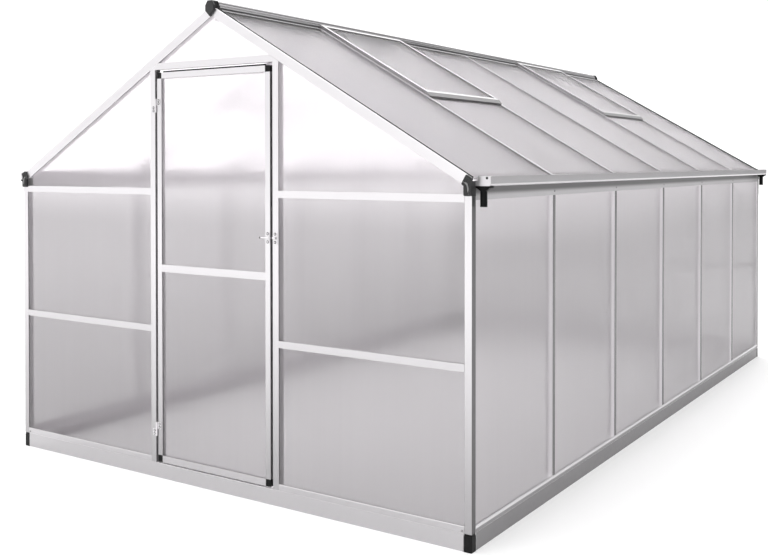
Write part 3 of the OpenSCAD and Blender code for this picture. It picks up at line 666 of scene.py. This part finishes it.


# Rafters and roof bars: rafters close the roof at the gables and are as bright as the posts, their faces
# towards the sides painted darker as shade; the roof bars between the panels lie flat to the sky, are less
# glossy, and
# their tops are painted darker: painted shade. A black rubber seal runs along each rafter's lip, and dark
# strips on the door's top and bottom rails fill the gaps at the head and the base, as painted shade.
rafter_skin = aluminium_material("aluminium_rafter", "X", front=0.76, side=0.3, turn_y=-roof_slope)
right_bar_skin = aluminium_material("aluminium_right_roof_bar", "X", front=0.75, side=0.5, begins=0.5,
                                    turn_y=-roof_slope, metallic=0.0, gloss=0.1, shade_faces="top")
left_bar_skin = aluminium_material("aluminium_left_roof_bar", "X", front=0.75, side=0.5, begins=0.5,
                                   turn_y=roof_slope, metallic=0.0, gloss=0.1, shade_faces="top")
# Black rubber for the rafter seals; it also paints the shade in the door's gaps.
black_rubber_and_gap_shade = moulded_material("black_rubber_and_gap_shade", (0.012, 0.012, 0.012), (0.03, 0.03, 0.03),
                                roughness=0.6, gloss=0.2)
wear(nodes["front_rafters"], rafter_skin)
wear(nodes["rear_rafters"], rafter_skin)
wear(nodes["right_roof_bars"], right_bar_skin)
wear(nodes["left_roof_bars"], left_bar_skin)


def on_right_slope(down, out, y):
    """Points on the right slope: distance down from the apex, distance out from the roof face, and Y."""
    x = down * math.cos(roof_slope) + out * math.sin(roof_slope)
    z = apex - down * math.sin(roof_slope) + out * math.cos(roof_slope)
    return rings_of(x, y, z)


seal_top, seal_bottom = 0.036, 1.435
seal_inset, seal_half_width = 0.0138, 0.0040
seal_height, seal_sunk = 0.0050, 0.0022
seal_y = seal_inset - half_length + seal_half_width * np.cos(half_turn)
seal_out = seal_height * np.sin(half_turn) - seal_sunk
seal_rings = on_right_slope(np.array([[seal_top], [seal_bottom]]), seal_out, seal_y)
rafter_seals = new_mesh("rafter_seals", *mirrored(*tube(seal_rings), four_ways), True)
wear(rafter_seals, black_rubber_and_gap_shade)
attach(rafter_seals, "building")

# The door's top and bottom rails carry dark strips that fill the gaps at the head and the base: painted
# shade.
door_low, door_high = corners("door_rails")
shade_strip_half_width, shade_strip_end_gap, shade_strip_sunk = 0.0060, 0.006, 0.0005
head_shade_strip_reach, foot_shade_strip_reach = 0.0080, -0.0048
shade_strip_x = both[:, None] * (door_high[0] - shade_strip_end_gap)
shade_strip_y = (door_low[1] + door_high[1]) / 2 + shade_strip_half_width * np.cos(half_turn)
for name, level, reach in (("door_head_shade_strip", door_high[2] - shade_strip_sunk, head_shade_strip_reach),
                           ("door_foot_shade_strip", door_low[2] + shade_strip_sunk, foot_shade_strip_reach)):
    shade_strip_z = level + reach * np.sin(half_turn) ** 0.5
    door_shade_strip = new_mesh(name, *tube(rings_of(shade_strip_x, shade_strip_y, shade_strip_z)), True)
    wear(door_shade_strip, black_rubber_and_gap_shade)
    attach(door_shade_strip, "door")


# Panels: milky twin-wall sheet, 4 mm thick, its flutes upright in the walls and down the slope in the roof.
# Each flute bends the light a little; the sheets are darker towards the ground, and the gables are painted
# lighter under the roof, as painted light, and cloudier there. Beside the wall bars the sheets are given a
# faint
# glow: painted light.
def flute_group():
    """Group: a smooth wave across the flutes, and the sheet's cloudiness: broad clouds with streaks along the
    flutes. At scale 1 the Wave node repeats every 2 pi / 20 units."""
    flute_pitch = 0.006
    outputs = {"Flutes": "Float", "Cloud": "Float"}
    group, entry, leave = new_group("twin_wall_flutes", {"Vector": "Vector"}, outputs)
    wave = group.nodes.new("ShaderNodeTexWave")
    wave.wave_profile = "SIN"
    wave.bands_direction = "X"
    wave.inputs["Scale"].default_value = math.tau / 20 / flute_pitch
    squeeze = group.nodes.new("ShaderNodeMapping")
    squeeze.inputs["Scale"].default_value = (45.0, 1.2, 0.9)
    streak = noise(group, squeeze.outputs["Vector"], scale=1.0, detail=4.0)
    cloud = noise(group, entry["Vector"], scale=1.6, detail=3.0)
    blend = group.nodes.new("ShaderNodeMix")
    blend.inputs["Factor"].default_value = 0.4
    group.links.new(entry["Vector"], wave.inputs["Vector"])
    group.links.new(entry["Vector"], squeeze.inputs["Vector"])
    group.links.new(cloud.outputs["Fac"], blend.inputs["A"])
    group.links.new(streak.outputs["Fac"], blend.inputs["B"])
    group.links.new(wave.outputs["Fac"], leave["Flutes"])
    group.links.new(blend.outputs["Result"], leave["Cloud"])
    return group


def painted_glow_strip_group():
    """Group: level 1 on the strips of sheet before the bars and less on the narrower strips past them, where
    a glow is painted; the distance to the bars is the fraction of Y over their pitch, counted from the front."""
    near_core, near_edge = 0.036, 0.068
    far_core, far_edge, far_level = 0.014, 0.026, 0.4
    group, entry, leave = new_group("painted_glow_strips", {"Along": "Float"}, {"Level": "Float"})
    bays = value_of(group, "MULTIPLY", entry["Along"], 1 / bar_pitch)
    part = value_of(group, "FRACT", value_of(group, "ADD", bays, bay_count / 2))
    before = smooth_range(group, part, 1 - near_edge / bar_pitch, 1 - near_core / bar_pitch)
    past = smooth_range(group, part, far_edge / bar_pitch, far_core / bar_pitch, 0.0, far_level)
    group.links.new(value_of(group, "MAXIMUM", before, past), leave["Level"])
    return group


twin_wall_flutes = flute_group()
painted_glow_strips = painted_glow_strip_group()
panel_tint = np.array([1.0, 0.98, 0.996])
painted_strip_glow = (0.15, 0.147, 0.15)


def panel_material(name, turn_z, axis, start, end, first, second, roughness):
    """Milky sheet: part of the light scatters at the face, the rest goes through, spread by the rough flutes.
    Its tone goes from first to second along an axis, and changes a little with its cloudiness, as its
    roughness does; or roughness is two heights and the values below and above them."""
    cloud_tone, whitest, spread, flute_depth = 0.04, 0.99, 0.03, 0.00015
    material, tree, shader = new_material(name)
    facing = tree.nodes.new("ShaderNodeMapping")
    facing.inputs["Rotation"].default_value = (0, 0, turn_z)
    flutes = placed(tree, twin_wall_flutes)
    tree.links.new(object_vector(tree), facing.inputs["Vector"])
    tree.links.new(facing.outputs["Vector"], flutes.inputs["Vector"])
    cloud = flutes.outputs["Cloud"]
    sheet = tree.nodes.new("ShaderNodeMix")
    sheet.data_type = "RGBA"
    tree.links.new(step_along(tree, axis, start, end), sheet.inputs["Factor"])
    for tone, socket in ((first, sheet.inputs["A"]), (second, sheet.inputs["B"])):
        dark, light = panel_tint * (tone - cloud_tone), panel_tint * min(tone + cloud_tone, whitest)
        two_tones(tree, cloud, dark, light, socket)
    tree.links.new(sheet.outputs["Result"], shader.inputs["Base Color"])
    shader.inputs["Metallic"].default_value = 0.0
    shader.inputs["IOR"].default_value = 1.1
    shader.inputs["Transmission Weight"].default_value = 0.94
    if isinstance(roughness, tuple):
        low_end, high_end, below, above = roughness
        between(tree, step_along(tree, "Z", low_end, high_end), below, above, shader.inputs["Roughness"])
    else:
        between(tree, cloud, roughness - spread, roughness + spread, shader.inputs["Roughness"])
    raised(tree, flutes.outputs["Flutes"], flute_depth, shader)
    return material


def glow_painted_beside_bars(material):
    """Gives a panel material a faint glow on the strips beside the bars: painted light."""
    tree = material.node_tree
    shader = tree.nodes["Principled BSDF"]
    strips = placed(tree, painted_glow_strips)
    tree.links.new(parts_of(tree, object_vector(tree))["Y"], strips.inputs["Along"])
    two_tones(tree, strips.outputs["Level"], (0, 0, 0), painted_strip_glow, shader.inputs["Emission Color"])
    shader.inputs["Emission Strength"].default_value = 1.0


quarter = math.pi / 2
cloudy_gable = (post_top + 0.065, post_top + 0.235, 0.3, 0.6)
# The gable sheets are painted lighter from just under the eaves up, as light through the roof: painted light.
gable_panel = panel_material("twin_wall_gable", 0.0, "Z", start=post_top - 0.165, end=post_top + 0.115,
                             first=0.595, second=0.9, roughness=cloudy_gable)
# The wall sheets are darker towards the ground.
right_panel = panel_material("twin_wall_right", quarter, "Z", start=post_top - 0.265, end=post_top - 0.015,
                             first=0.61, second=0.75, roughness=0.34)
left_panel = panel_material("twin_wall_left", quarter, "Z", start=0.2, end=1.0,
                            first=0.58, second=0.72, roughness=0.34)
# The roof sheets are painted darker on the right slope than on the left: painted shade.
roof_panel = panel_material("twin_wall_roof", quarter, "X", start=-0.02, end=0.02,
                            first=0.88, second=0.62, roughness=0.7)
glow_painted_beside_bars(right_panel)
glow_painted_beside_bars(left_panel)
for name in ("front_gable_panes", "rear_gable_panes", "door_panes"):
    wear(nodes[name], gable_panel)
wear(nodes["left_wall_panes"], left_panel)
wear(nodes["right_wall_panes"], right_panel)
for name in ("left_roof_panes", "right_roof_panes", "vent_panes"):
    wear(nodes[name], roof_panel)


# Roof vents: framed panels that lie on the roof bars below the ridge. The frame and its sill bar are painted
# darker than the rafters, and their faces towards the sides darker still: painted shade. A sill bar under its
# foot takes the short panel.
vent_skin = aluminium_material("aluminium_vent", "Y", front=0.42, side=0.2, begins=0.6)
vent_sill_skin = aluminium_material("aluminium_vent_sill", "Y", front=0.46, side=0.25)
wear(nodes["vent_frames"], vent_skin)
wear(nodes["vent_sills"], vent_sill_skin)


# Hinges and slide bolt: pressed steel with bright zinc plating, each plate held by two screws; a dark cup
# under each screw paints the shade round it. The bolt is a turned rod in two bored guides, one on the door
# and one on its post, with a black knob.
zinc_plate = zinc_material("zinc_plating", metal_tint * 0.66, metal_tint * 0.8, scale=300.0, roughness=0.32,
                           metallic=0.85)
knob_and_shade_black = zinc_material("black_knob_and_shade_cups", metal_tint * 0.03, metal_tint * 0.07, scale=500.0,
                            roughness=0.35, metallic=0.7)
for name in ("hinge_frame_leaves", "hinge_door_leaves", "latch_body", "latch_keeper", "latch_bolt"):
    wear(nodes[name], zinc_plate)
plate_thickness = 0.002
plate_face = -half_length - plate_thickness
cup_radius, cup_height = 0.0062, 0.0012
head_radius, head_height, head_lift = 0.0034, 0.0018, 0.001


def plate_heads(name, xs, zs, body):
    """A bright screw at every X with every Z given, on the plates' face, each on a dark cup painting its
    shade.
    """
    places = places_at(xs, [plate_face], zs)
    out = np.zeros_like(places) + [0, -1, 0]
    cup_shape = turned_heads(places, out, cup_radius, cup_height)
    head_shape = turned_heads(places + head_lift * out, out, head_radius, head_height)
    cups = new_mesh(name.replace("screws", "shade_washers"), *cup_shape, True)
    heads = new_mesh(name, *head_shape, True)
    wear(cups, knob_and_shade_black)
    wear(heads, zinc_plate)
    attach(cups, body)
    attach(heads, body)


door_swing = next(joint for joint in frame["joints"] if joint["name"] == "door_swing")
hinge_x = door_swing["pos_m"][0]
hinge_inset, leaf_screw_reach, latch_screw_reach = 0.143, 0.0155, 0.0165
hinge_levels = np.array([door_low[2] + hinge_inset, door_high[2] - hinge_inset])
leaf_screw_rows = np.array([[0.0085], [0.0225]])
post_leaf_rows = (hinge_levels - leaf_screw_rows[::-1]).ravel()
door_leaf_rows = (hinge_levels + leaf_screw_rows).ravel()
bolt_low, bolt_high = corners("latch_bolt")
latch_level = (bolt_low[2] + bolt_high[2]) / 2
latch_rows = latch_level + both * latch_screw_reach
latch_body_x = corners("latch_body")[:, 0].mean()
latch_keeper_x = corners("latch_keeper")[:, 0].mean()
plate_heads("hinge_post_screws", [hinge_x - leaf_screw_reach], post_leaf_rows, "building")
plate_heads("hinge_door_screws", [hinge_x + leaf_screw_reach], door_leaf_rows, "door")
plate_heads("latch_door_screws", [latch_body_x], latch_rows, "door")
plate_heads("latch_post_screws", [latch_keeper_x], latch_rows, "building")

knob_inset, knob_sunk, knob_sides = 0.0038, 0.0014, 24
knob_x, knob_root = bolt_low[0] + knob_inset, bolt_low[1] + knob_sunk
knob_turn = np.linspace(0, math.tau, knob_sides, endpoint=False)
knob_size = np.array([[0.0036], [0.0036], [0.0030], [0.0012]])
knob_reach = np.array([[-0.0002], [0.0006], [0.0012], [0.0014]])
knob_rings = rings_of(knob_x + knob_size * np.cos(knob_turn), knob_root - knob_reach,
                      latch_level + knob_size * np.sin(knob_turn))
bolt_knob = new_mesh("bolt_knob", *tube(knob_rings), True)
wear(bolt_knob, knob_and_shade_black)
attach(bolt_knob, "latch_bolt")
